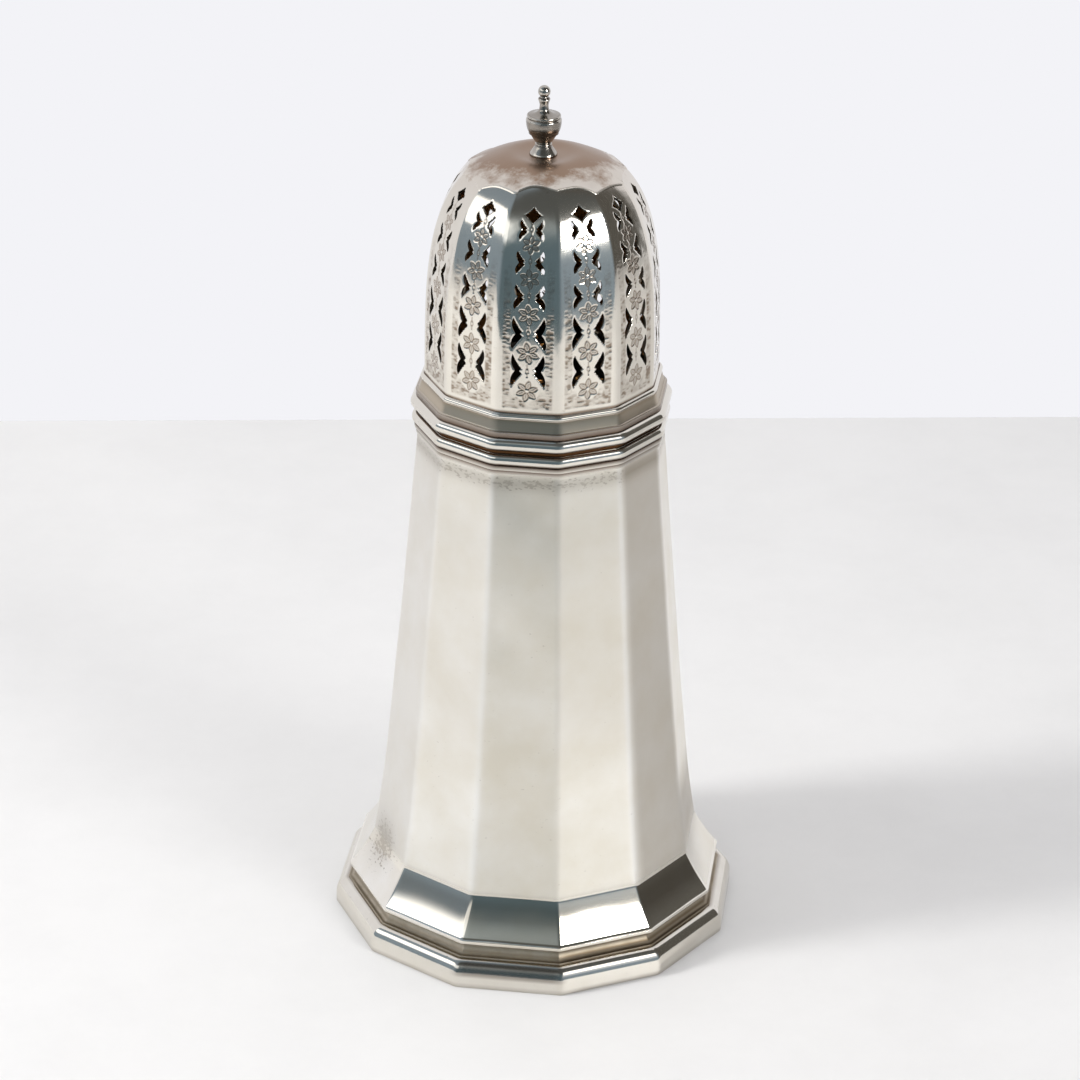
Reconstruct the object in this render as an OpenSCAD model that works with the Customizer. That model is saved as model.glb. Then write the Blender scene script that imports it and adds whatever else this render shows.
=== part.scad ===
// Sugar caster of panelled lighthouse form: a tapered body on a stepped foot,
// and a pierced, domed cover that lifts off. All sizes are in millimetres.
// Widths are taken across opposite flat panels. The origin is on the table, on the axis.

/* [Sheet] */
// Number of panels round the caster
sides = 12; // [10:2:14]
// Thickness of the silver sheet
sheet_t = 0.7; // [0.5:0.05:0.9]
// Solder seam between pieces that nest in each other
seam = 0.05; // [0.02:0.01:0.1]

/* [Foot] */
// Height of the foot rim
foot_rim_h = 5; // [4:0.1:7]
// How far the foot rim stands out past the lip of the skirt
foot_out = 3.45; // [3:0.05:5]
// Radius of the rounded shoulder of the foot rim
foot_round = 2.4; // [1.5:0.1:3]
// Width of the flat land on top of the foot rim
foot_land = 1; // [0.8:0.1:2]
// Height of the hollow band above the foot rim
foot_cove_h = 3; // [2:0.1:5]
// How far the lip of the skirt hangs over the hollow band
lip_over = 0.9; // [0.4:0.1:1.4]
// Width of the ledge that the base plate rests on
plate_land = 1.2; // [0.8:0.1:2]
// Thickness of the base plate
plate_t = 0.8; // [0.5:0.05:1.2]

/* [Body] */
// Thickness of the lip at the bottom of the skirt
lip_t = 0.8; // [0.5:0.05:1.5]
// Width of the flange turned in at the bottom of the skirt
flange_w = 2; // [1.6:0.1:3]
// Height of the flared part of the skirt
flare_h = 8.7; // [6:0.1:9.5]
// Radius of the flare
flare_r = 12.5; // [11:0.1:20]
// Width of the body at the top of the flare
body_w = 60.9; // [54:0.1:70]
// Height of the tapered panels
body_h = 84.7; // [60:0.1:110]
// Width of the neck at the top of the panels
neck_w = 45.8; // [40:0.1:52]

/* [Neck moulding] */
// Height of each of the two fillets
neck_fillet_h = 1; // [0.6:0.05:1.5]
// How far the lower fillet stands out, and how much more the upper one does
neck_fillet_out = 0.3; // [0.2:0.05:0.4]
// Height of the neck bead
neck_bead_h = 2.1; // [1.6:0.1:3]
// How far the neck bead stands out
neck_bead_out = 1.05; // [0.8:0.05:1.5]

/* [Cover moulding] */
// Height of the joint groove under the cover bead
joint_h = 0.8; // [0.5:0.05:1.2]
// Height of the cover bead
cover_bead_h = 2.6; // [2:0.1:3.4]
// How far the cover bead stands out past the neck
cover_bead_out = 1.3; // [0.9:0.05:1.8]
// Height of the fillet over the bead
cover_fillet_h = 1.3; // [0.8:0.1:2]
// How far that fillet stands out past the neck
cover_fillet_out = 0.3; // [0.2:0.05:0.6]
// Height of the hollow between fillet and dome
cover_cove_h = 3.2; // [2:0.1:4.5]

/* [Sleeve] */
// Depth of the cover's sleeve in the neck
sleeve_depth = 10; // [6:0.5:16]
// Height of the sleeve inside the cover moulding
sleeve_hold = 4.4; // [3:0.1:5]
// Sliding clearance between sleeve and neck, each side
sleeve_gap = 0.08; // [0.04:0.01:0.12]

/* [Dome] */
// How far the foot of the dome stands in from the neck
dome_in = 1.15; // [1:0.05:2]
// Height of the panelled vault to its point
dome_rise = 44.2; // [36:0.2:54]
// How much the dome is drawn in over its height
dome_draw = 0.3; // [0:0.1:2]
// How straight the dome stands before it turns in
dome_straight = 3.76; // [3:0.02:5]
// How full the shoulder of the dome is
dome_full = 2.72; // [2:0.02:3.4]
// Radius of the round crown
crown_r = 29.4; // [26:0.2:36]
// How far the crown is let down below the point of the vault
crown_drop = 0.35; // [0.2:0.05:0.8]
// Radius of the flat in the top of the crown that the finial stands on
seat_r = 8.1; // [5:0.1:10]

/* [Piercing] */
// Number of tiers of pierced pairs on each panel
tiers = 5; // [3:1:5]
// Height of the lowest flower above the foot of the panel
field_bottom = 4.6; // [4:0.1:7]
// Plain silver left above the lozenge at the top of each panel
field_top = 5; // [4:0.1:8]
// Height of each tier as a share of the tier below
tier_share = 0.93; // [0.9:0.01:1]
// Silver left between the tips of two pairs, at the lowest tier
tip_gap = 1; // [0.8:0.1:2]
// How much more silver is left at each higher tier
tip_gap_step = 0.4; // [0.2:0.05:0.5]
// Silver left at each side of the pierced column
panel_margin = 2.9; // [2.4:0.1:3.4]
// Width of the lozenge at the top
lozenge_w = 3.4; // [2.4:0.1:3.6]

/* [Finial] */
// Radius of the spread foot of the finial
finial_foot_r = 2.6; // [2.2:0.1:4]
// Height of the spread foot
finial_foot_h = 1.4; // [0.8:0.1:2]
// Height of the stem and its ring
finial_stem_h = 0.5; // [0.3:0.1:1]
// Radius of the stem at its narrowest
finial_stem_r = 1.35; // [1.3:0.05:1.8]
// How far the ring at the top of the spread foot stands out from the stem
ring_out = 0.15; // [0.05:0.05:0.4]
// Height of the plain cup under the bowl
finial_cup_h = 2.3; // [1.6:0.1:3]
// Radius of the cup where the bowl starts
finial_cup_r = 2.5; // [2:0.1:2.7]
// Height of the bowl of the urn
finial_bowl_h = 2; // [1.4:0.1:2.8]
// Radius of the bowl
finial_bowl_r = 3.25; // [2.8:0.05:3.8]
// Height of the upright band round the bowl
finial_band_h = 1; // [0.6:0.1:1.2]
// Height of the band and the hollow lid over the bowl
finial_lid_h = 2.3; // [1.8:0.1:3]
// Height of the narrow neck and its collar
finial_neck_h = 2.5; // [1.8:0.1:3.2]
// Radius of the narrow neck
finial_neck_r = 0.85; // [0.6:0.05:1]
// How far the collar under the ball stands out from the neck
collar_out = 0.4; // [0.2:0.05:0.7]
// How far the groove between collar and ball stands out from the neck
groove_out = 0.04; // [0:0.02:0.1]
// Radius of the ball at the top
ball_r = 1.15; // [1.1:0.05:1.4]
// Diameter of the peg through the crown
peg_d = 2.4; // [1.8:0.1:2.4]
// Clearance round the peg
peg_gap = 0.05; // [0.03:0.01:0.1]
// Width of the nut on the peg, across flats
nut_w = 5; // [4.4:0.1:5.4]
// Thickness of the nut
nut_t = 1.6; // [1.2:0.1:2.4]
// How far the peg comes through the nut
peg_out = 0.4; // [0.2:0.1:1]

/* [Hidden] */

silver = [0.83, 0.82, 0.79];
polished = [0.9, 0.9, 0.88];
shaded = [0.62, 0.6, 0.57];

// Straight steps along each curve, and round faces
arc_steps = 8;
dome_steps = 20;
round_fn = 96;
// Cutting shapes run this far past what they cut
over = 1;
// Short height over which the lean of a panel is measured
lean_step = 0.1;
// Proportions of the pierced ornament: the disc round each flower, the bridge left between
// two wings and the notch in the back of each wing to the width of the wings,
// and the centres of the hollow sides to the width of the lozenge
disc_share = 0.87;
bridge_share = 0.38;
notch_share = 0.23;
hollow_share = 0.9;
half_angle = 180 / sides;

// Heights, from the table up
z_cove = foot_rim_h;
z_lip = z_cove + foot_cove_h;
z_flare = z_lip + lip_t;
z_body = z_flare + flare_h;
z_neck = z_body + body_h;
z_neck_bead = z_neck + 2 * neck_fillet_h;
z_joint = z_neck_bead + neck_bead_h;
z_cover_bead = z_joint + joint_h;
z_cover_fillet = z_cover_bead + cover_bead_h;
z_cover_cove = z_cover_fillet + cover_fillet_h;
z_dome = z_cover_cove + cover_cove_h;
z_crown = z_dome + dome_rise - crown_drop;
z_crown_centre = z_crown - crown_r;
z_seat = z_crown_centre + sqrt(pow(crown_r, 2) - pow(seat_r, 2));
z_nut_seat = z_seat - sheet_t;

// Half widths, from the axis to a flat
body_a = body_w / 2;
neck_a = neck_w / 2;
taper = atan((body_a - neck_a) / body_h);
flare_x = body_a + flare_r * cos(taper);
flare_z = z_body + flare_r * sin(taper);
flare_end = asin(flare_h / flare_r + sin(taper));
flare_end_in = asin((flare_z - z_flare) / (flare_r + sheet_t));
lip_a = flare_x - flare_r * cos(flare_end);
foot_a = lip_a + foot_out;
rim_in_a = foot_a - foot_round - foot_land;
cove_low_a = foot_a - foot_round;
cove_top_a = lip_a - lip_over;
flange_a = lip_a - flange_w;
plate_a = flange_a - seam;
cove_in_a = flange_a - plate_land;
collar_in_a = neck_a - sheet_t;
sleeve_a = collar_in_a - sleeve_gap;
sleeve_in_a = sleeve_a - sheet_t;
neck_back_a = neck_a + neck_fillet_out;
cover_fillet_a = neck_a + cover_fillet_out;
dome_a = neck_a - dome_in;
shelf_a = dome_a - sheet_t;
reach = 4 * foot_a;

// Points along an arc or a quarter of an ellipse, about a centre
function curve(x, z, rx, rz, from, to) =
    [for (i = [0:arc_steps]) let (a = from + (to - from) * i / arc_steps) [x + rx * cos(a), z + rz * sin(a)]];

// Points along a hollow that starts level at the bottom and ends upright at the top
function hollow(low_a, low_z, top_a, top_z) =
    [for (i = [0:arc_steps]) let (a = 90 * i / arc_steps)
        [low_a - (low_a - top_a) * sin(a), top_z - (top_z - low_z) * cos(a)]];

// Points along the flare of the skirt, which has its centre outside the body
function flare(radius, from, to) =
    [for (i = [0:arc_steps]) let (a = from + (to - from) * i / arc_steps)
        [flare_x - radius * cos(a), flare_z - radius * sin(a)]];

// Half width of the vault at a height, for a wall that far inside the outer face
function vault_a(z, inside = 0) =
    let (t = (z - z_dome) / (dome_rise - inside))
    (dome_a - inside - dome_draw * t) * pow(1 - pow(t, dome_straight), 1 / dome_full);

// Points up the vault, closer together towards the top
function vault(top_z, inside = 0) =
    [for (i = [0:dome_steps]) let (z = z_dome + (top_z - z_dome) * sin(90 * i / dome_steps)) [vault_a(z, inside), z]];

// Lean of the vault's panel from upright at a height
function vault_lean(z) = atan((vault_a(z - lean_step) - vault_a(z + lean_step)) / (2 * lean_step));

// A solid with flat panels all round: the half profile holds the half width at each height
module panelled(half) {
    other_half = [for (i = [len(half) - 1:-1:0]) [-half[i][0], half[i][1]]];
    intersection_for (k = [0:sides / 2 - 1])
        rotate([0, 0, k * 2 * half_angle])
            rotate([90, 0, 0])
                linear_extrude(height = reach, center = true)
                    polygon(concat(half, other_half));
}

// A straight panelled solid between two heights
module panelled_block(a, z0, z1) {
    panelled([[a, z0], [a, z1]]);
}

// A panelled ring with a straight inside
module panelled_ring(half, inner_a, z0, z1) {
    difference() {
        panelled(half);
        panelled_block(inner_a, z0 - over, z1 + over);
    }
}

// A thin wall with flat panels all round: the section goes up the outside and down the inside
module panelled_wall(section) {
    corners = len(section);
    points = [for (k = [0:sides - 1], p = section) let (a = (2 * k + 1) * half_angle, r = p[0] / cos(half_angle))
        [r * cos(a), r * sin(a), p[1]]];
    faces = [for (k = [0:sides - 1], i = [0:corners - 1])
        let (here = k * corners, next = (k + 1) % sides * corners, j = (i + 1) % corners)
        [here + i, here + j, next + j, next + i]];
    polyhedron(points, faces);
}

module foot_rim() {
    rim = concat([[foot_a, 0]], curve(foot_a - foot_round, foot_rim_h - foot_round, foot_round, foot_round, 0, 90));
    color(polished) panelled_ring(rim, rim_in_a, 0, z_cove);
}

module foot_cove() {
    color(shaded) panelled_ring(hollow(cove_low_a, z_cove, cove_top_a, z_lip), cove_in_a, z_cove, z_lip);
}

module base_plate() {
    color(silver) panelled_block(plate_a, z_lip, z_lip + plate_t);
}

module body_shell() {
    outside = concat([[lip_a, z_lip]], flare(flare_r, flare_end, taper), [[neck_a, z_neck], [neck_a, z_joint]]);
    inside = concat([[collar_in_a, z_joint], [collar_in_a, z_neck]],
                    flare(flare_r + sheet_t, taper, flare_end_in),
                    [[flange_a, z_flare], [flange_a, z_lip]]);
    color(silver) panelled_wall(concat(outside, inside));
}

module neck_moulding() {
    lower_a = neck_back_a;
    upper_a = neck_back_a + neck_fillet_out;
    z_upper = z_neck + neck_fillet_h;
    fillets = [[lower_a, z_neck], [lower_a, z_upper], [upper_a, z_upper], [upper_a, z_neck_bead]];
    bead = curve(neck_back_a, z_neck_bead + neck_bead_h / 2,
                 neck_bead_out - neck_fillet_out, neck_bead_h / 2, -90, 90);
    color(polished) panelled_ring(concat(fillets, bead), neck_a + seam, z_neck, z_joint);
}

module cover_sleeve() {
    bottom = z_joint - sleeve_depth;
    top = z_joint + sleeve_hold;
    color(silver) panelled_ring([[sleeve_a, bottom], [sleeve_a, top]], sleeve_in_a, bottom, top);
}

module cover_moulding() {
    groove = [[neck_a, z_joint]];
    bead = curve(neck_a, z_cover_bead + cover_bead_h / 2, cover_bead_out, cover_bead_h / 2, -90, 90);
    fillet = [[cover_fillet_a, z_cover_fillet]];
    cove = hollow(cover_fillet_a, z_cover_cove, dome_a, z_dome);
    color(polished) difference() {
        panelled(concat(groove, bead, fillet, cove));
        panelled_block(sleeve_a + seam, z_joint - over, z_joint + sleeve_hold);
        panelled_block(shelf_a, z_joint - over, z_dome + over);
    }
}

// The round crown on a straight round block, which trims the vault to shape
module crown(inside = 0) {
    radius = crown_r - inside;
    rotate_extrude($fn = round_fn) {
        intersection() {
            translate([0, z_crown_centre]) circle(r = radius, $fn = round_fn);
            translate([0, z_crown_centre]) square([radius, radius]);
        }
        translate([0, z_dome - 2 * over]) square([radius, z_crown_centre - z_dome + 2 * over]);
    }
}

// The pierced field of one panel, measured along the panel from the foot of the dome
panel_line = vault(z_seat);
panel_run = [for (i = 0, s = 0; i <= dome_steps; s = s + (i < dome_steps ? norm(panel_line[i + 1] - panel_line[i]) : 0),
             i = i + 1) [s, panel_line[i][1]]];
crest_i = [for (i = [0:dome_steps])
    let (p = panel_line[i], h = p[1] - z_crown_centre)
    if (p[0] < sqrt(pow(crown_r, 2) - pow(h, 2))) i];
crest_run = panel_run[crest_i[len(crest_i) - 1]][0];
field_run = crest_run - field_top - field_bottom;
tier_weights = [for (i = [0:tiers - 1]) pow(tier_share, i)];
weight_sum = tier_weights * [for (i = [0:tiers - 1]) 1];

// Height of a tier, and how far up the panel the flower below it stands
function tier_h(i) = field_run * tier_weights[i] / weight_sum;
function tier_run(i) = i == 0 ? field_bottom : tier_run(i - 1) + tier_h(i - 1);

// Puts a flat outline on the panel that faces the front, at a run up the panel
module on_panel(run) {
    z = lookup(run, panel_run);
    translate([0, -vault_a(z), z])
        rotate([90 - vault_lean(z), 0, 0])
            linear_extrude(height = 2 * (sheet_t + over), center = true)
                children();
}

// One pair of pierced wings between two flowers, drawn to the width of the panel
module wings(width, height, pitch) {
    disc_r = disc_share * width;
    bridge = bridge_share * width;
    notch = notch_share * width;
    for (side = [-1, 1])
        difference() {
            polygon([[side * bridge, height / 2], [side * width, height / 2], [side * (width - notch), 0],
                     [side * width, -height / 2], [side * bridge, -height / 2]]);
            for (end = [-1, 1])
                translate([0, end * pitch / 2]) circle(r = disc_r, $fn = round_fn);
            translate([side * bridge, 0]) circle(r = notch / 2, $fn = round_fn);
        }
}

// The lozenge with hollow sides at the head of a panel
module lozenge() {
    far = hollow_share * lozenge_w;
    hollow_r = norm([far, far - lozenge_w / 2]);
    difference() {
        square(lozenge_w, center = true);
        for (x = [-far, far], y = [-far, far])
            translate([x, y]) circle(r = hollow_r, $fn = round_fn);
    }
}

module pierced_field() {
    for (i = [0:tiers - 1]) {
        run = tier_run(i) + tier_h(i) / 2;
        width = vault_a(lookup(run, panel_run)) * tan(half_angle) - panel_margin;
        on_panel(run) wings(width, tier_h(i) - tip_gap - i * tip_gap_step, tier_h(i));
    }
    on_panel(tier_run(tiers - 1) + tier_h(tiers - 1)) lozenge();
}

module cover_dome() {
    color(polished) difference() {
        intersection() {
            panelled(vault(z_seat));
            crown();
        }
        intersection() {
            panelled(concat([[shelf_a, z_dome - over]], vault(z_nut_seat, sheet_t)));
            crown(sheet_t);
        }
        for (k = [0:sides - 1])
            rotate([0, 0, k * 2 * half_angle]) pierced_field();
        translate([0, 0, z_nut_seat - over])
            cylinder(d = peg_d + 2 * peg_gap, h = sheet_t + 2 * over, $fn = round_fn);
    }
}

module finial() {
    z_stem = z_seat + finial_foot_h;
    z_cup = z_stem + finial_stem_h;
    z_bowl = z_cup + finial_cup_h;
    z_lid = z_bowl + finial_bowl_h;
    z_neck_low = z_lid + finial_lid_h;
    z_collar = z_neck_low + finial_neck_h;
    z_ball = z_collar + ball_r;
    ring_r = finial_stem_r + ring_out;
    collar_r = finial_neck_r + collar_out;
    groove_r = finial_neck_r + groove_out;
    peg_bottom = z_nut_seat - nut_t - peg_out;
    outline = concat(
        [[0, peg_bottom], [peg_d / 2, peg_bottom], [peg_d / 2, z_seat]],
        [[finial_foot_r, z_seat], [ring_r, z_stem]],
        [[finial_stem_r, z_stem + finial_stem_h / 2], [finial_stem_r, z_cup]],
        [[finial_cup_r, z_bowl]],
        curve(finial_cup_r, z_lid, finial_bowl_r - finial_cup_r, finial_bowl_h, -90, 0),
        hollow(finial_bowl_r, z_lid + finial_band_h, finial_neck_r, z_neck_low),
        [[finial_neck_r, z_neck_low + finial_neck_h / 2], [collar_r, z_collar - ball_r / 2]],
        [[groove_r, z_collar]],
        curve(0, z_ball, ball_r, ball_r, -45, 90));
    color(shaded) rotate_extrude($fn = round_fn) polygon(outline);
}

module finial_nut() {
    color(silver) translate([0, 0, z_nut_seat - nut_t])
        difference() {
            cylinder(d = nut_w / cos(30), h = nut_t, $fn = 6);
            translate([0, 0, -over]) cylinder(d = peg_d + 2 * peg_gap, h = nut_t + 2 * over, $fn = round_fn);
        }
}

body_shell();
foot_rim();
foot_cove();
base_plate();
neck_moulding();
cover_dome();
cover_moulding();
cover_sleeve();
finial();
finial_nut();
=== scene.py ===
import math

import bpy
import numpy as np
from mathutils import Matrix


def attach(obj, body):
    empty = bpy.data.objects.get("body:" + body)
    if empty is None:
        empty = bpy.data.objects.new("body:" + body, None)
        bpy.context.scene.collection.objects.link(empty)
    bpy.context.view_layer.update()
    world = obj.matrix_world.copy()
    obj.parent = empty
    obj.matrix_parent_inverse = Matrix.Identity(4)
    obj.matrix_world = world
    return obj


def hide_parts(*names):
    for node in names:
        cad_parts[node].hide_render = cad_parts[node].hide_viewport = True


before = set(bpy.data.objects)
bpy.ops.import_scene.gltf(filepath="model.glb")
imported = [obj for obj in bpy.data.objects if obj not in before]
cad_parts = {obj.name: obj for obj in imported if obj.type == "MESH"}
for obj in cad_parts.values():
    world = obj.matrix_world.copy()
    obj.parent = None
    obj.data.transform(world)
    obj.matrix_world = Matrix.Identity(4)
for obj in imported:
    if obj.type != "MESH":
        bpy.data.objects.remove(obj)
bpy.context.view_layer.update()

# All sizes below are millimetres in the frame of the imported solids, and become metres in the meshes
MM = 0.001

# The caster's plan: twelve flat panels, one of them facing -Y
SIDES = 12
TURN = 2 * math.pi / SIDES
EDGE = math.tan(TURN / 2)

# Heights of the joints between the pieces, from the table up
Z_COVE = 5.0
Z_LIP = 8.0
Z_FLARE = 8.8
Z_BODY = 17.5
Z_NECK = 102.2
Z_NECK_BEAD = 104.2
Z_JOINT = 106.3
Z_COVER_BEAD = 107.1
Z_COVER_FILLET = 109.7
Z_DOME = 114.2
Z_SLEEVE = (96.3, 110.7)

# Half widths across the flats
FOOT_A = 38.6
FOOT_IN_A = 35.2
COVE_LOW_A = 36.2
COVE_TOP_A = 34.27
COVE_IN_A = 31.97
FLANGE_A = 33.17
BODY_A = 30.45
NECK_A = 22.9
COLLAR_A = 22.2
SLEEVE_A = (22.12, 21.42)
DOME_A = 21.75
SHELF_A = 21.05
SHEET = 0.7

# The dome's vault and its round crown
RISE = 44.2
DRAW = 0.3
STRAIGHT = 3.76
FULL = 2.72
CROWN_R = 29.4
CROWN_Z = 128.65
SEAT_Z = 156.91
SEAT_R = 2.0


def linear(code, alpha=1.0):
    """Turns an sRGB hex colour into the linear values that the shaders use."""
    parts = np.array([int(code[i:i + 2], 16) for i in (1, 3, 5)]) / 255
    light = np.where(parts > 0.04045, ((parts + 0.055) / 1.055) ** 2.4, parts / 12.92)
    return (*light.tolist(), alpha)


def add(tree, kind, wires=None, **settings):
    """Adds a node, sets its properties, and gives each named input a link or a value."""
    node = tree.nodes.new("ShaderNode" + kind)
    for name, value in settings.items():
        setattr(node, name, value)
    for socket, source in (wires or {}).items():
        if isinstance(source, bpy.types.NodeSocket):
            tree.links.new(source, node.inputs[socket])
        else:
            node.inputs[socket].default_value = source
    return node


def empty_tree(data):
    """Gives a material or a world an empty node tree."""
    data.use_nodes = True
    data.node_tree.nodes.clear()
    return data.node_tree


# Shapes


def spread(first, last, count):
    """Evenly spaced values from first to last, both included."""
    return np.linspace(first, last, count)


def corner(a, z, radius=0.0, dirt_and_shade=0.0):
    """One corner of an outline: half width, height, how far its rounding reaches, and how dark it is there:
    grime in most corners, painted shade at the ledge of the cover ring.
    """
    return np.array([[a, z, radius, dirt_and_shade]])


def run_of(a, z, dirt_and_shade=0.0):
    """Smooth points of an outline, given as arrays of half widths and heights."""
    return np.stack(np.broadcast_arrays(a, z, 0.0, dirt_and_shade), axis=-1)


def arc(a, z, wide, high, start, stop, count=15, dirt_and_shade=0.0):
    """Points of an ellipse about (a, z): a + wide cos t, z + high sin t, with t in degrees."""
    t = np.radians(spread(start, stop, count))
    return run_of(a + wide * np.cos(t), z + high * np.sin(t), dirt_and_shade)


def hollow(low_a, low_z, top_a, top_z, count=15, dirt_and_shade=0.0):
    """Points of a quarter hollow that leaves its foot level and ends upright at its head."""
    t = np.radians(spread(0, 90, count))
    return run_of(low_a - (low_a - top_a) * np.sin(t), top_z - (top_z - low_z) * np.cos(t), dirt_and_shade)


def soften(outline, steps=5):
    """Rounds the corners of a closed outline with (1-t)^2 A + 2t(1-t) C + t^2 B, where A and B lie
    beside the corner C on its two sides. A corner with no radius stays one point."""
    here = outline[:, :2]
    before = np.roll(here, 1, axis=0) - here
    after = np.roll(here, -1, axis=0) - here
    length_before = np.linalg.norm(before, axis=1)
    length_after = np.linalg.norm(after, axis=1)
    cut = np.minimum(outline[:, 2], 0.45 * np.minimum(length_before, length_after))
    a = here + before * (cut / length_before)[:, None]
    b = here + after * (cut / length_after)[:, None]
    t = spread(0, 1, steps)[:, None]
    bend = (1 - t) ** 2 * a[:, None] + 2 * t * (1 - t) * here[:, None] + t ** 2 * b[:, None]
    kept = np.ones(bend.shape[:2], dtype=bool)
    kept[outline[:, 2] == 0, 1:] = False
    dirt_and_shade = np.repeat(outline[:, 3:], steps, axis=1)
    return bend[kept], dirt_and_shade[kept]


def hand_made(points, size):
    """Slow waves that a hand-finished surface keeps: a sum of four sines across space, about size high."""
    x, y, z = np.moveaxis(points, -1, 0)
    return size * (0.4 * np.sin(0.31 * x + 0.17 * z + 0.6) + 0.3 * np.sin(0.27 * y - 0.23 * z + 2.1)
                   + 0.2 * np.sin(0.43 * (x + y) + 0.37 * z + 4.0)
                   + 0.1 * np.sin(0.71 * (x - y) - 0.53 * z + 1.3))


def grid_faces(rows, columns, wrap_rows, wrap_columns):
    """Corner numbers of the quads of a grid, whose rows or columns may close on themselves."""
    i = np.arange(rows if wrap_rows else rows - 1)[:, None]
    j = np.arange(columns if wrap_columns else columns - 1)[None, :]
    i_next = (i + 1) % rows
    j_next = (j + 1) % columns
    quads = np.stack(np.broadcast_arrays(i * columns + j, i * columns + j_next,
                                         i_next * columns + j_next, i_next * columns + j), axis=-1)
    return quads.reshape(-1, 4)


def make_piece(name, points, quads, triangles, body, node, slot, materials, **marks):
    """Puts points, quads and triangles into a mesh, with each mark as a value on its points, and lets
    the piece ride on a body in place of a solid."""
    mesh = bpy.data.meshes.new(name)
    corners = np.concatenate([quads.ravel(), triangles.ravel()]).astype(np.int32)
    starts = np.concatenate([4 * np.arange(len(quads)), 4 * len(quads) + 3 * np.arange(len(triangles))])
    mesh.vertices.add(len(points))
    mesh.vertices.foreach_set("co", (points * MM).astype(np.float32).ravel())
    mesh.loops.add(len(corners))
    mesh.loops.foreach_set("vertex_index", corners)
    mesh.polygons.add(len(starts))
    mesh.polygons.foreach_set("loop_start", starts.astype(np.int32))
    mesh.update(calc_edges=True)
    mesh.shade_smooth()
    for mark, values in marks.items():
        attribute = mesh.attributes.new(mark, "FLOAT", "POINT")
        attribute.data.foreach_set("value", values.astype(np.float32).ravel())
    for material in materials:
        mesh.materials.append(material)
    piece = bpy.data.objects.new(name, mesh)
    bpy.context.scene.collection.objects.link(piece)
    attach(piece, body)
    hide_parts(node)
    return piece


NO_TRIANGLES = np.zeros((0, 3), dtype=int)


def plan(flat_columns=13, arris_columns=8):
    """One turn round the panels, as two arrays of plan directions: where each column lies on a panelled
    ring of half width 1, and which way it faces. Columns on the rounded arrises turn on the spot."""
    u = np.sign(spread(-1, 1, flat_columns)) * np.abs(spread(-1, 1, flat_columns)) ** 0.6
    turn = TURN * np.arange(1, arris_columns) / arris_columns
    across = np.concatenate([u * EDGE, np.full(len(turn), EDGE)])
    face = np.concatenate([np.zeros(len(u)), turn])
    panel = TURN * np.arange(SIDES)[:, None]
    place = turned(across, np.ones(len(across)), panel)
    facing = turned(np.sin(face), np.cos(face), panel)
    return place.reshape(-1, 2), facing.reshape(-1, 2)


def turned(along, out, angle):
    """Plan x and y of a point that lies so far along a panel and so far out, on the panel at that angle."""
    return np.stack(np.broadcast_arrays(along * np.cos(angle) + out * np.sin(angle),
                                        along * np.sin(angle) - out * np.cos(angle)), axis=-1)


def azimuth_of(points):
    """Degrees round the axis, from 0 at the front towards the right."""
    return np.degrees(np.arctan2(points[..., 0], -points[..., 1]))


def within(value, start, stop, blend):
    """1 between start and stop, fading to 0 over a blend at each end."""
    return np.clip((value - start) / blend + 0.5, 0, 1) * np.clip((stop - value) / blend + 0.5, 0, 1)


def normals_of(points):
    """Unit normals of a closed grid: the cross of its differences round and along the outline."""
    round_it = np.roll(points, -1, axis=1) - np.roll(points, 1, axis=1)
    along_it = np.roll(points, -1, axis=0) - np.roll(points, 1, axis=0)
    normal = np.cross(round_it, along_it)
    return normal / np.maximum(np.linalg.norm(normal, axis=-1, keepdims=True), 1e-9)


def panelled_piece(name, outline, round_mm, wave, body, node, slot, material, more_marks=None):
    """Carries a closed outline round the panels: each point is (a - r) place + r facing at its own height,
    where a is its half width and r the rounding of the arrises there. The outline's darkening, grime and
    painted shade, becomes the tarnish mark, and more_marks gives further marks at each point."""
    section, dirt_and_shade = soften(np.concatenate(outline))
    place, facing = plan()
    r = np.interp(section[:, 1], *round_mm)[:, None, None]
    flat = (section[:, 0, None, None] - r) * place + r * facing
    height = np.broadcast_to(section[:, 1, None, None], flat.shape[:2] + (1,))
    points = np.concatenate([flat, height], axis=-1)
    points = points + hand_made(points, wave)[..., None] * normals_of(points)
    rows, columns = points.shape[:2]
    marks = {"tarnish": np.repeat(dirt_and_shade, columns)}
    if more_marks:
        for mark, values in more_marks(points).items():
            marks[mark] = marks.get(mark, 0) + values.ravel()
    return make_piece(name, points.reshape(-1, 3), grid_faces(rows, columns, True, True), NO_TRIANGLES,
                      body, node, slot, [material], **marks)


# Finishes


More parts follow.
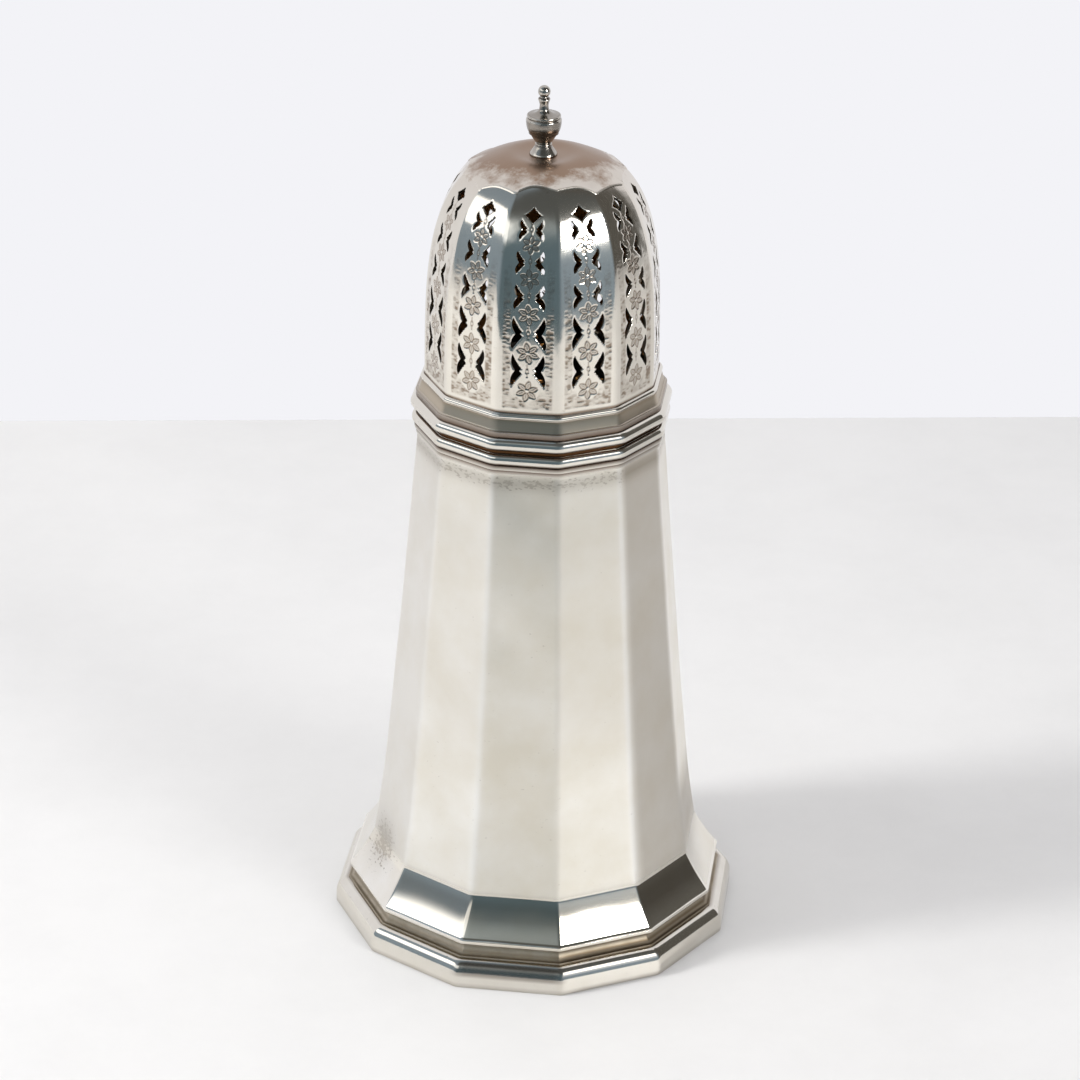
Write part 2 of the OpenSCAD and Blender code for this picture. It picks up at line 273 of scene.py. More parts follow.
def silver(name, clean, worn, tarnish, rough, rough_tarnish, blotch_mm, stain=None, bright_below=None):
    """A silver finish: clean metal that turns worn in cloudy blotches and where the worn mark is high, with
    small specks, dark where the tarnish mark is high, and dull where the film mark is high. The
    tarnish mark holds tarnish and grime, and also painted shade and a painted dark reflection
    where the pieces put them. A stain and a haze colour the crown of the dome by the crown mark, a radius in
    mm, and the crown is dull where the cap mark is 1. The metal is polished below the height bright_below in
    mm, and above it grows a little smoother with height."""
    material = bpy.data.materials.new(name)
    tree = empty_tree(material)
    where = add(tree, "TexCoord").outputs["Object"]
    mark = add(tree, "Attribute", attribute_name="tarnish").outputs["Fac"]
    cloud = add(tree, "TexNoise", {"Vector": where, "Scale": 1 / (blotch_mm * MM), "Detail": 4.0,
                                   "Roughness": 0.55}).outputs["Fac"]
    wear = add(tree, "Attribute", attribute_name="worn").outputs["Fac"]
    yellowed = add(tree, "Math", {0: wear, 1: WORN_SHARE, 2: cloud}, operation="MULTIPLY_ADD").outputs[0]
    patch = add(tree, "MapRange", {"Value": yellowed, "From Min": 0.1, "From Max": 0.95}).outputs["Result"]
    level = add(tree, "Mapping", {"Vector": where, "Scale": (1.0, 1.0, 2.0)}).outputs["Vector"]
    fleck = add(tree, "TexNoise", {"Vector": level, "Scale": 1 / (FLECK_MM * MM),
                                   "Detail": 2.0}).outputs["Fac"]
    grime = add(tree, "Attribute", attribute_name="specks").outputs["Fac"]
    flecked = add(tree, "Math", {0: grime, 1: SPECK_SHARE, 2: fleck}, operation="MULTIPLY_ADD").outputs[0]
    speck = add(tree, "MapRange", {"Value": flecked, "From Min": 0.71, "From Max": 0.85,
                                   "To Max": 0.55}).outputs["Result"]
    metal = add(tree, "Mix", {"Factor": patch, "A": linear(clean), "B": linear(worn)}, data_type="RGBA")
    dirt_and_shade = add(tree, "Math", {0: mark, 1: speck}, operation="MAXIMUM", use_clamp=True).outputs[0]
    colour = add(tree, "Mix", {"Factor": dirt_and_shade, "A": metal.outputs["Result"], "B": linear(tarnish)},
                 data_type="RGBA").outputs["Result"]
    gloss = add(tree, "MapRange", {"Value": cloud, "From Min": 0.3, "From Max": 0.75, "To Min": 0.92 * rough,
                                   "To Max": 1.15 * rough}).outputs["Result"]
    dull = add(tree, "Mix", {"Factor": mark, "A": gloss, "B": rough_tarnish},
               data_type="FLOAT").outputs["Result"]
    if bright_below:
        height = add(tree, "SeparateXYZ", {"Vector": where}).outputs["Z"]
        less = add(tree, "MapRange", {"Value": height, "From Min": SMOOTHER_Z[0] * MM,
                                      "From Max": SMOOTHER_Z[1] * MM, "To Min": 1.0,
                                      "To Max": SMOOTHER}).outputs["Result"]
        dull = add(tree, "Math", {0: dull, 1: less}, operation="MULTIPLY").outputs[0]
        rubbed = add(tree, "MapRange", {"Value": height, "From Min": bright_below * MM,
                                        "From Max": (bright_below + 0.4) * MM}).outputs["Result"]
        dull = add(tree, "Mix", {"Factor": rubbed, "A": FLARE_ROUGH, "B": dull},
                   data_type="FLOAT").outputs["Result"]
    if stain:
        radius = add(tree, "Attribute", attribute_name="crown").outputs["Fac"]
        ragged = add(tree, "TexNoise", {"Vector": where, "Scale": 1 / (RAGGED_MM * MM), "Detail": 7.0,
                                        "Roughness": 0.7}).outputs["Fac"]
        reach = add(tree, "Math", {0: ragged, 1: -14.0, 2: radius}, operation="MULTIPLY_ADD").outputs[0]
        stained = add(tree, "MapRange", {"Value": reach, "From Min": 4.6, "From Max": 7.6, "To Min": 1.0,
                                         "To Max": 0.0}).outputs["Result"]
        misty = add(tree, "MapRange", {"Value": radius, "From Min": 13.0, "From Max": 21.0, "To Min": 1.0,
                                       "To Max": 0.0}).outputs["Result"]
        hazed = add(tree, "Mix", {"Factor": misty, "A": colour, "B": linear(HAZE)}, data_type="RGBA")
        colour = add(tree, "Mix", {"Factor": stained, "A": hazed.outputs["Result"], "B": linear(stain)},
                     data_type="RGBA").outputs["Result"]
        on_cap = add(tree, "Attribute", attribute_name="cap").outputs["Fac"]
        dull = add(tree, "Mix", {"Factor": on_cap, "A": dull, "B": CROWN_ROUGH},
                   data_type="FLOAT").outputs["Result"]
    film = add(tree, "Attribute", attribute_name="film").outputs["Fac"]
    colour = add(tree, "Mix", {"Factor": film, "A": colour, "B": linear(FILM)},
                 data_type="RGBA").outputs["Result"]
    dull = add(tree, "Mix", {"Factor": film, "A": dull, "B": FILM_ROUGH}, data_type="FLOAT").outputs["Result"]
    shine = add(tree, "BsdfPrincipled", {"Base Color": colour, "Roughness": dull, "Metallic": 1.0})
    add(tree, "OutputMaterial", {"Surface": shine.outputs["BSDF"]})
    return material


# Sizes of the small spots and of the ragged edge of the stain
FLECK_MM = 0.9
RAGGED_MM = 5.0
# How far the worn mark yellows the metal and the specks mark darkens its spots
WORN_SHARE = 0.35
SPECK_SHARE = 0.31
# The haze on the clear part of the crown, and the film on the band under the dome
HAZE = "#D6CDC2"
FILM = "#B5A58C"
FILM_ROUGH = 0.46
# Roughness of the bright flare and of the crown, and how much smoother the satin gets between two heights
FLARE_ROUGH = 0.09
CROWN_ROUGH = 0.3
SMOOTHER = 0.82
SMOOTHER_Z = (22, 58)

# Rubbed satin silver: years of wiping leave a soft pale sheen with faint yellowing, and the flare is bright.
# Its brown is film and grime, and painted shade on the right and beside the front
satin_silver = silver("rubbed_satin_silver", "#F8F6F1", "#E7E0D1", "#766650", 0.39, 0.42, 11.0,
                      bright_below=16.5)
# Polished silver mouldings: near mirrors, warm brown where a cloth doesn't reach, and dark under painted
# shade and a painted dark reflection
polished_silver = silver("polished_silver_moulding", "#E8E4DC", "#DBD5C9", "#4F3520", 0.1, 0.25, 6.0)
# Tarnished silver in the hollow of the foot: brown and half dull, also used for painted shade on the right
tarnished_silver = silver("tarnished_silver_hollow", "#C4BAAA", "#A69A85", "#6A5D4B", 0.46, 0.5, 2.5)
# Unpolished silver inside: grey and dull, darkened by sulphur
inside_silver = silver("unpolished_inside_silver", "#9A938A", "#7F766B", "#4A3B2C", 0.38, 0.5, 8.0)
# The dome's inner face, golden brown from years of use
dome_inside_silver = silver("dark_inside_silver", "#C48E56", "#9E6E3C", "#5A3A1C", 0.45, 0.5, 5.0)
# Pierced sheet: bright between the cuts, brown in the engraved lines and the ground, stained on the crown
pierced_silver = silver("pierced_engraved_silver", "#E9E5DC", "#DDD6C9", "#6E5438", 0.11, 0.25, 5.0,
                        "#9A826F")
# Edges left by the piercing saw: rough and dull, so they only show where a lamp strikes them
sawn_silver = silver("sawn_edge_silver", "#938A7B", "#7F7564", "#5F5039", 0.55, 0.6, 2.0)
# Cast silver of the finial: greyer than the sheet, with tarnish in its grooves
cast_silver = silver("cast_turned_silver", "#C8C3BB", "#A49D93", "#4A3D32", 0.15, 0.26, 2.0)

# The foot

RIM_UPRIGHT = 2.0
RIM_TOP = 5.4
shoulder_dirt = 0.4 * np.clip((spread(0, 90, 21) - 74) / 12, 0, 1)
rim = [corner(FOOT_A, 0.0, 0.3, 0.3), corner(FOOT_A, 1.2),
       arc(COVE_LOW_A, RIM_UPRIGHT, FOOT_A - COVE_LOW_A, RIM_TOP - RIM_UPRIGHT, 0, 90, 21, shoulder_dirt),
       corner(FOOT_IN_A, RIM_TOP, 0.1), corner(FOOT_IN_A, 0.0, 0.3, 0.3)]


def rim_painted_dark_reflection(points):
    """A painted dark reflection on the shoulder of the rim, at the front only."""
    front = within(azimuth_of(points), -15, 15, 4)
    return {"tarnish": 0.5 * front * within(points[..., 2], 2.6, 5.2, 0.6)}


foot_rim = panelled_piece("stepped_foot_rim", rim, ([0, 5], [2.0, 2.4]), 0.03, "caster_body", "foot_rim",
                          "polished_silver", polished_silver, rim_painted_dark_reflection)

streaks = 0.24 + 0.24 * np.cos(spread(0, 5 * math.pi, 25))
cove_foot_a = COVE_LOW_A - 0.4
cove_foot_z = RIM_TOP + 0.25
cove = [corner(COVE_LOW_A, Z_COVE, 0.05, 0.9), corner(COVE_LOW_A - 0.05, cove_foot_z, 0.12, 0.1),
        hollow(cove_foot_a, cove_foot_z, COVE_TOP_A, Z_LIP, 25, streaks), corner(COVE_IN_A, Z_LIP, 0.1, 0.8),
        corner(COVE_IN_A, Z_COVE, 0.1, 0.8)]


def cove_painted_shade(points):
    """Painted shade in the hollow on the right of the front, darkening the side that the right lamps light.
    """
    return {"tarnish": 0.5 * within(azimuth_of(points), 15, 80, 6)}


panelled_piece("foot_hollow", cove, ([5, 8], [0.6, 0.6]), 0.03, "caster_body", "foot_cove",
               "tarnished_silver", tarnished_silver, cove_painted_shade)

# The body: a lip, a flare whose slope grows towards the lip, and panels a little hollow in height that open
# out just above the flare

FLARE_R = 12.5
TAPER = math.atan((BODY_A - NECK_A) / (Z_NECK - Z_BODY))
PANEL_HOLLOW = 0.25
OPEN_OUT = 0.45
OPEN_TO = 35.0
OPEN_SLOPE = math.atan(math.tan(TAPER) + 2 * OPEN_OUT / (OPEN_TO - Z_BODY))
BEND_H = 0.6
BEND_TOP = 16.6
SLOPES = np.radians([37.4, 26.0, math.degrees(OPEN_SLOPE)])
flare_a = BODY_A + FLARE_R * math.cos(TAPER)
flare_z = Z_BODY + FLARE_R * math.sin(TAPER)
bend_z = np.concatenate([spread(Z_FLARE, BEND_TOP - BEND_H, 15)[:-1], spread(BEND_TOP - BEND_H, BEND_TOP, 9),
                         [Z_BODY]])
bend_slope = np.interp(bend_z, [Z_FLARE, BEND_TOP - BEND_H, BEND_TOP], SLOPES)
mean_tan = np.tan((bend_slope[1:] + bend_slope[:-1]) / 2)
bend_a = BODY_A + OPEN_OUT + np.append(np.cumsum((mean_tan * np.diff(bend_z))[::-1])[::-1], 0)
lip_a = bend_a[0]
share = spread(0, 1, 91)[1:-1]
panel_z = Z_BODY + (Z_NECK - Z_BODY) * share
inner_a = BODY_A + (NECK_A - BODY_A) * share - PANEL_HOLLOW * np.sin(math.pi * share) - SHEET
panel_a = inner_a + SHEET + OPEN_OUT * np.clip((OPEN_TO - panel_z) / (OPEN_TO - Z_BODY), 0, 1) ** 2
top_film = 0.07 * np.clip((panel_z - 78) / 22, 0, 1)
inner_bend = spread(TAPER, math.radians(46), 9)
inner_r = FLARE_R + SHEET
shell = [corner(lip_a + 0.12, Z_LIP, 0.25, 0.3), corner(lip_a + 0.12, Z_FLARE, 0.2),
         run_of(bend_a, bend_z), run_of(panel_a, panel_z, top_film),
         corner(NECK_A, Z_NECK), corner(NECK_A, Z_JOINT, 0.15), corner(COLLAR_A, Z_JOINT, 0.15),
         corner(COLLAR_A, Z_NECK), run_of(inner_a[::-1], panel_z[::-1]),
         run_of(flare_a - inner_r * np.cos(inner_bend), flare_z - inner_r * np.sin(inner_bend)),
         corner(FLANGE_A, Z_FLARE + 0.1, 0.1), corner(FLANGE_A, Z_LIP, 0.1)]


# Where the grime lies: the height of its line under the neck moulding, and the middle of the rubbed patch
NECK_GRIME_Z = 100.5
GRIME_AT = np.array([-28.3, -13.4, 16.5])


def body_marks(points):
    """Specks of grime lie in a line under the neck moulding, exp(-(z off / 1.5)^2), and in a rubbed patch low
    on the left, 1.4 exp(-(distance / 5)^2), with a film under them. More film, which also goes into the
    tarnish mark, is painted shade on the right side panels and low down at the far right, where
    they reflect the caster's shadow, and high on the panels beside the front one, where it tones down the
    lamps' sheen. The film also lies on the left side panels and on the front of the flare, and the left
    side panels are less yellowed. The front panels are yellowed, and the arrises are paler, strength
    exp(-(degrees off / 1.6)^2), partly rubbed clean and partly painted highlight lines."""
    azimuth = azimuth_of(points)
    z = points[..., 2]
    away = np.linalg.norm(points - GRIME_AT, axis=-1)
    specks = np.exp(-((z - NECK_GRIME_Z) / 1.5) ** 2) + 1.4 * np.exp(-(away / 5) ** 2)
    above_flare = within(z, BEND_TOP, 110, 1)
    # Painted shade on the right side panels, for the caster's shadow that they reflect
    right_painted_shade = within(azimuth, 48, 75, 4) * above_flare
    left_side = within(azimuth, -75, -45, 3) * above_flare
    # Painted shade low at the far right, for the same shadow
    low_right_painted_shade = within(azimuth, 75, 105, 4) * within(z, BEND_TOP, 30, 6)
    flare_front = within(azimuth, -45, 75, 2) * within(z, 11, BEND_TOP - 0.4, 3)
    # Painted shade high on the panels beside the front one, toning down the lamps' sheen
    beside_front = 0.15 * within(azimuth, 15, 45, 3) + 0.12 * within(azimuth, -45, -15, 3)
    high_painted_shade = within(z, 46, 96, 16) * beside_front
    # The film sums that painted shade with the film on the left side panels and on the flare
    film = 0.35 * right_painted_shade + 0.15 * left_side + 0.44 * low_right_painted_shade + 0.5 * flare_front + high_painted_shade
    # Paler arrises, each at its own strength: partly rubbed clean, partly painted highlight lines
    from_arris = np.abs(np.mod(azimuth, 30) - 15)
    arris_highlight_strength = np.interp(azimuth, [-75, -45, -15, 15, 45, 75], [0.3, 0.5, 0.9, 0.1, 0.9, 0.3])
    rubbed = arris_highlight_strength * np.exp(-(from_arris / 1.6) ** 2) * above_flare
    worn = 0.75 * within(azimuth, -15, 15, 3) + 0.55 * within(azimuth, 15, 45, 3) - 0.8 * left_side
    return {"specks": specks, "tarnish": film + 0.28 * specks, "worn": worn - rubbed}


panelled_piece("tapered_body", shell, ([8, 13, 17, 26, 107], [1.4, 1.8, 2.4, 3.8, 3.2]), 0.06, "caster_body",
               "body_shell", "satin_silver", satin_silver, body_marks)

# The mouldings at the neck, dark under each bead, with a steep hollow band under the dome

under_bead = 0.9 * np.clip((-22 - spread(-90, 90, 19)) / 16, 0, 1)
Z_NECK_STEP = 103.2
NECK_BEAD_Z = 105.25
COVER_BEAD_Z = 108.4
FOOT_ROUND_Z = 113.5
FILLET_A = NECK_A + 0.3
STEP_A = NECK_A + 0.6
RING_IN_A = 22.17
BAND_Z = (110.9, 112.95)
BAND_A = 22.15
band_v = spread(1, 0, 13)
band_a = BAND_A + 0.45 * band_v + 0.13 * band_v ** 2
band_z = BAND_Z[1] - (BAND_Z[1] - BAND_Z[0]) * band_v
band_dirt = 0.1 + 0.25 * band_v + 0.7 * (1 - band_v) ** 3
neck = [corner(FILLET_A, Z_NECK, 0.16, 0.2), corner(FILLET_A, Z_NECK_STEP, 0.06, 0.9),
        corner(STEP_A, Z_NECK_STEP, 0.16, 0.15), corner(STEP_A, Z_NECK_BEAD, 0.12, 0.9),
        arc(FILLET_A, NECK_BEAD_Z, 0.75, 1.05, -90, 90, 19, under_bead),
        corner(NECK_A + 0.05, Z_JOINT, 0.04, 0.9), corner(NECK_A + 0.05, Z_NECK, 0.05, 0.5)]
neck_bead = panelled_piece("neck_bead", neck, ([102, 107], [4.2, 4.2]), 0.03, "caster_body",
                           "neck_moulding", "polished_silver", polished_silver)

cover_ring = [corner(NECK_A, Z_JOINT, 0.05, 1.0), corner(NECK_A, Z_COVER_BEAD - 0.02, 0.03, 1.0),
              arc(NECK_A, COVER_BEAD_Z, 1.3, 1.3, -90, 90, 19, under_bead),
              # Painted shade on the band's ledge, the second corner below, dims its highlight
              corner(FILLET_A, Z_COVER_FILLET, 0.14, 0.9), corner(FILLET_A, BAND_Z[0] - 0.04, 0.05, 0.6),
              run_of(band_a, band_z, band_dirt), arc(DOME_A, FOOT_ROUND_Z, 0.56, 0.56, -40, 84, 13),
              corner(DOME_A, Z_DOME, 0.03, 0.9), corner(SHELF_A, Z_DOME, 0.05),
              corner(SHELF_A, Z_SLEEVE[1], 0.05), corner(RING_IN_A, Z_SLEEVE[1], 0.05),
              corner(RING_IN_A, Z_JOINT, 0.05, 0.8)]


def band_marks(points):
    """A dull film on the band under the dome, between its lower and upper edge."""
    return {"film": 0.64 * within(points[..., 2], BAND_Z[0], BAND_Z[1], 0.2)}


cover_bead = panelled_piece("cover_bead", cover_ring, ([106, 110, 115], [4.2, 4.2, 3.4]), 0.03, "cover",
                            "cover_moulding", "polished_silver", polished_silver, band_marks)

sleeve = [corner(SLEEVE_A[0], Z_SLEEVE[0], 0.25), corner(SLEEVE_A[0], Z_SLEEVE[1], 0.1),
          corner(SLEEVE_A[1], Z_SLEEVE[1], 0.1), corner(SLEEVE_A[1], Z_SLEEVE[0], 0.25)]
panelled_piece("cover_sleeve_tube", sleeve, ([96, 111], [1.2, 1.2]), 0.0, "cover", "cover_sleeve",
               "inside_silver", inside_silver)

# The pierced dome, in twelve gores that each hold one panel, one arris and their slice of the crown

# The grid's cells, its rows between the pierced field and the crest, and a distance clear of every cut
CELL = 0.14
HEAD_ROWS = np.array([0.14, 0.28, 0.42, 0.56, 0.7, 0.82, 0.93, 1.0])
FAR_FROM_CUTS = 9.0
FIELD_RUN = 39.7
FIELD_HALF = 3.64
HEAD_GAP = 0.2

# Engraving: the leaves, the flower's bare middle, the lines and bevels, and where the punched ground lies
LEAF_WIDE = 0.42
LEAF_SUNK = 0.32
HEART_R = 0.32
LINE = 0.12
BEVEL_WIDE = 0.26
BEVEL_DEEP = 0.038
LINE_DEEP = 0.085
PUNCH_DEEP = 0.05
GROUND_IN = 3.1
GROUND_OUT = 4.75
FLOWER_RUN = np.array([4.6, 12.05, 19.35, 26.1, 32.1])
FLOWER_SIZE = np.array([2.1, 2.1, 2.0, 1.9, 1.7])
LOZENGE_RUN = 37.6
LOZENGE_HALF = 1.62
LOZENGE_BOW = 0.82

# The wings on the lowest tier: half widths at the upper and lower tips, in the notch of the outer edge and at
# the points and the nib of the inner edge, and how far the outer edge swells. Higher tiers are narrower by
# their scale
WING_TIPS = (2.8, 3.05)
WING_NOTCH = 2.42
WING_SWELL = 0.48
WING_POINT = 1.08
WING_NIB = 1.56
POINT_AT = 0.15
INNER_BOW = (0.72, 0.9)
WING_SCALE = np.array([1.0, 1.0, 0.9, 0.83, 0.69])
WING_HIGH = np.array([6.5, 6.3, 4.7, 4.3, 3.8])

# How far up the crest runs at the middle of each panel and at the arris before it, uneven as cut by hand,
# how wide the crown is dished, and the middle of its stain
CREST_MIDDLE = np.array([43.1, 42.6, 40.9, 41.0, 41.3, 41.1, 41.4, 41.0, 41.2, 41.4, 41.0, 41.8])
CREST_ARRIS = np.array([41.3, 42.3, 40.5, 40.1, 40.4, 40.2, 40.5, 40.3, 40.2, 40.4, 40.2, 40.1])
SEAT_DISH = 5.6
STAIN_AT = (-0.6, 2.2)

# How far a panel's middle swells over its edges, and how far the crown's edge stands proud of the panels
SWELL = 0.15
CREST_LIP = 0.2

vault_t = np.sin(spread(0, math.pi / 2, 4000)) * 0.995
vault_half = (DOME_A - DRAW * vault_t) * (1 - vault_t ** STRAIGHT) ** (1 / FULL)
vault_high = Z_DOME + RISE * vault_t
vault_run = np.concatenate([[0], np.cumsum(np.hypot(np.diff(vault_half), np.diff(vault_high)))])
vault_lean = np.arctan2(-np.gradient(vault_half, vault_run), np.gradient(vault_high, vault_run))


def lattice(i, j, seed):
    """A fixed scatter of values from 0 to 1 on whole numbers: the fraction of a large sine."""
    value = np.sin(i * 12.9898 + j * 78.233 + seed * 37.719) * 43758.5453
    return value - np.floor(value)


def speckle(x, y, size, seed):
    """Smooth scatter of spots about size apart: lattice values blended between their four neighbours."""
    i, j = np.floor(x / size), np.floor(y / size)
    u, v = x / size - i, y / size - j
    u, v = u * u * (3 - 2 * u), v * v * (3 - 2 * v)
    low = lattice(i, j, seed) * (1 - u) + lattice(i + 1, j, seed) * u
    high = lattice(i, j + 1, seed) * (1 - u) + lattice(i + 1, j + 1, seed) * u
    return low * (1 - v) + high * v


def hand(panel, item, size):
    """How far the hand strayed at one item on one panel, up to size either way."""
    return size * (2 * lattice(panel * 3.0 + 1, item * 5.0 + 2, 7) - 1)


def pierced(x, s, panel):
    """Field of the cuts in a panel, less than 0 inside a cut. Between two flowers lies a pair of wings, each
    with an upper and a lower horn: with v from 0 at its middle to 1 at a tip, the outer edge is
    notch + (tip - notch) v + 4 swell v (1 - v), and the inner edge goes from the nib at v = 0 to a point and
    then as a power of v to the tip. A lozenge with hollow sides stands at the head."""
    tops = np.append(FLOWER_RUN[1:], LOZENGE_RUN)
    cut = np.full(x.shape, FAR_FROM_CUTS)
    for i, low in enumerate(FLOWER_RUN):
        scale, high = WING_SCALE[i], WING_HIGH[i]
        y = s - (low + tops[i]) / 2 - hand(panel, i, 0.12)
        off = x - hand(panel, i + 10, 0.1)
        wide = np.abs(off) * (1 + hand(panel, i + 20, 0.03) * np.sign(off)) / scale
        v = np.abs(y) / (high / 2)
        tip = np.where(y > 0, *WING_TIPS)
        bow = np.where(y > 0, *INNER_BOW)
        outer = WING_NOTCH + (tip - WING_NOTCH) * v + 4 * WING_SWELL * v * (1 - v)
        climb = np.clip((v - POINT_AT) / (1 - POINT_AT), 0, 1) ** bow
        nib = np.clip(1 - v / POINT_AT, 0, 1)
        inner = WING_POINT + (tip - WING_POINT) * climb + (WING_NIB - WING_POINT) * nib
        wing = np.maximum.reduce([scale * (inner - wide), scale * (wide - outer), (v - 1) * high / 2])
        cut = np.minimum(cut, wing)
    u = np.abs(x - hand(panel, 30, 0.08)) + 1e-4
    v = np.abs(s - LOZENGE_RUN - hand(panel, 31, 0.12)) + 1e-4
    lozenge = (u ** LOZENGE_BOW + v ** LOZENGE_BOW) ** (1 / LOZENGE_BOW) - LOZENGE_HALF
    return np.minimum(cut, lozenge)


def cut_slope(x, s, panel):
    """How the field of the cuts changes along x and along s, from its values a little to either side."""
    e = 0.01
    along_x = (pierced(x + e, s, panel) - pierced(x - e, s, panel)) / (2 * e)
    along_s = (pierced(x, s + e, panel) - pierced(x, s - e, panel)) / (2 * e)
    return along_x, along_s, np.maximum(along_x ** 2 + along_s ** 2, 0.25)


def engraved(x, s, panel):
    """How deep the graver went, from 0 to 1: six leaves round each flower, each a shallow hollow with an
    outline and a vein, and a small drop on the bridge between two flowers."""
    depth = np.zeros(x.shape)
    tops = np.append(FLOWER_RUN[1:], LOZENGE_RUN)
    for i, low in enumerate(FLOWER_RUN):
        size = FLOWER_SIZE[i]
        u = x - hand(panel, i + 40, 0.08)
        v = s - low - hand(panel, i + 50, 0.1)
        r = np.hypot(u, v)
        turn = math.pi / 2 + hand(panel, i + 60, 0.25)
        fold = np.mod(np.arctan2(v, u) - turn + math.pi / 6, math.pi / 3) - math.pi / 6
        along, across = r * np.cos(fold), np.abs(r * np.sin(fold))
        reach = np.clip((along - HEART_R) / (size - HEART_R), 0, 1)
        leaf = LEAF_WIDE * size / 1.85 * np.sin(math.pi * reach ** 0.85) ** 0.8
        inside = (reach > 0) & (reach < 1)
        outline = np.exp(-((across - leaf) / LINE) ** 2) * inside
        vein = 0.8 * np.exp(-(across / (0.8 * LINE)) ** 2) * (reach > 0.15) * (reach < 0.7)
        filling = LEAF_SUNK * inside * np.clip((leaf - across) / LINE, 0, 1)
        drop_y = s - (low + tops[i]) / 2 - 0.2
        drop = 0.8 * np.exp(-((np.hypot(u / 0.75, drop_y / 1.4) - 0.34) / LINE) ** 2)
        stem = 0.7 * np.exp(-(u / LINE) ** 2) * (np.abs(drop_y) < 1.3) * (np.abs(drop_y) > 0.5)
        depth = np.maximum.reduce([depth, outline, vein, filling, drop, stem])
    return depth


def punched(x, s, panel):
    """Where the punched ground lies: two bands beside the pierced column, which fade towards the head of the
    panel, and one round the lowest flower's foot."""
    short_of_edge = np.clip((GROUND_OUT - np.abs(x)) / 0.25, 0, 1)
    band = np.clip((np.abs(x) - GROUND_IN) / 0.3, 0, 1) * short_of_edge
    band = band * np.clip((s - 1.2) / 0.4, 0, 1) * np.clip((30 - s) / 12, 0, 1)
    under = short_of_edge * np.clip((s - 0.9) / 0.4, 0, 1) * np.clip((4.6 - s) / 1.2, 0, 1)
    patchy = np.clip(1.5 * speckle(x, s, 0.9, panel) + 0.1, 0, 1)
    clear = np.clip((np.hypot(x, s - FLOWER_RUN[0]) - FLOWER_SIZE[0]) / 0.3, 0, 1)
    return np.maximum(band, under) * patchy * clear


def relief(x, s, panel, cut):
    """Height of the engraved face over the plain panel, and its tarnish: edges of the cuts are bevelled,
    leaves are sunk lines, and the ground is punched all over in short level dashes, which are drawn coarser
    than real ones so that they show."""
    lines = engraved(x, s, panel)
    ground = punched(x, s, panel)
    spots = speckle(x * 0.45, s * 0.9, 0.28, panel + 20)
    bevel = np.clip(1 - np.maximum(cut, 0) / BEVEL_WIDE, 0, 1)
    height = -BEVEL_DEEP * bevel ** 2 - LINE_DEEP * lines - PUNCH_DEEP * ground * spots
    speck = np.clip((spots - 0.48) / 0.2, 0, 1)
    return height, np.clip(0.9 * lines + ground * (0.32 + 0.45 * speck), 0, 1)


